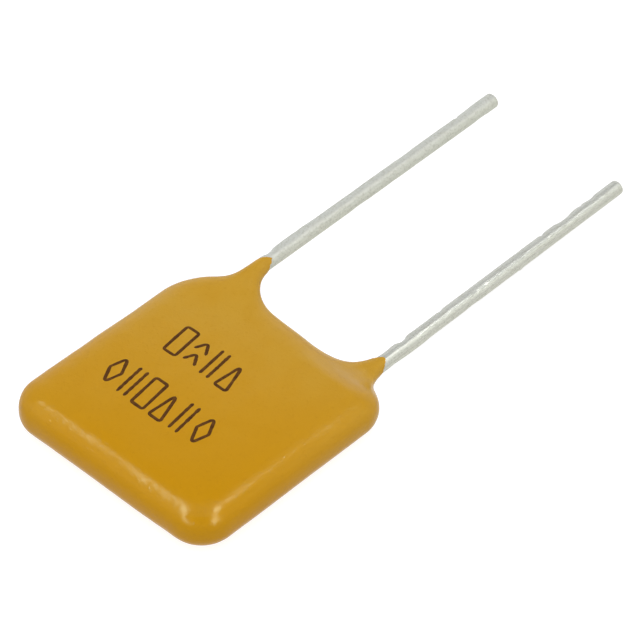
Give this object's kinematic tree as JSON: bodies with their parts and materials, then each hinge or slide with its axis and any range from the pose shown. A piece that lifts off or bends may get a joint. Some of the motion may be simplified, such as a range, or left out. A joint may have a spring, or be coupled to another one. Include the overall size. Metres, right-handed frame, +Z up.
{
  "type": "resettable fuse",
  "caption": "Flat, square-bodied resettable fuse with a dipped amber epoxy coating and round tinned leads that leave one edge in parallel.",
  "frame": {"origin": "on the flat back of the coating, midway between the leads and midway along the coated body", "axes": "+X from the front lead to the back lead, +Y along the leads towards their cut ends, +Z up out of the marked face"},
  "size_m": [0.0088, 0.0212, 0.0018],
  "materials": {
    "epoxy": "satin-gloss amber epoxy",
    "polymer": "matte black carbon-filled polymer",
    "nickel_foil": "dull nickel foil",
    "tinned_wire": "dull tinned wire with long drawing streaks",
    "solder": "dull solder"
  },
  "bodies": {
    "root": {"epoxy_coating": "epoxy", "ptc_core": "polymer", "front_electrode": "nickel_foil", "back_electrode": "nickel_foil", "front_lead": "tinned_wire", "back_lead": "tinned_wire", "front_solder": "solder", "back_solder": "solder"}
  },
  "joints": []
}
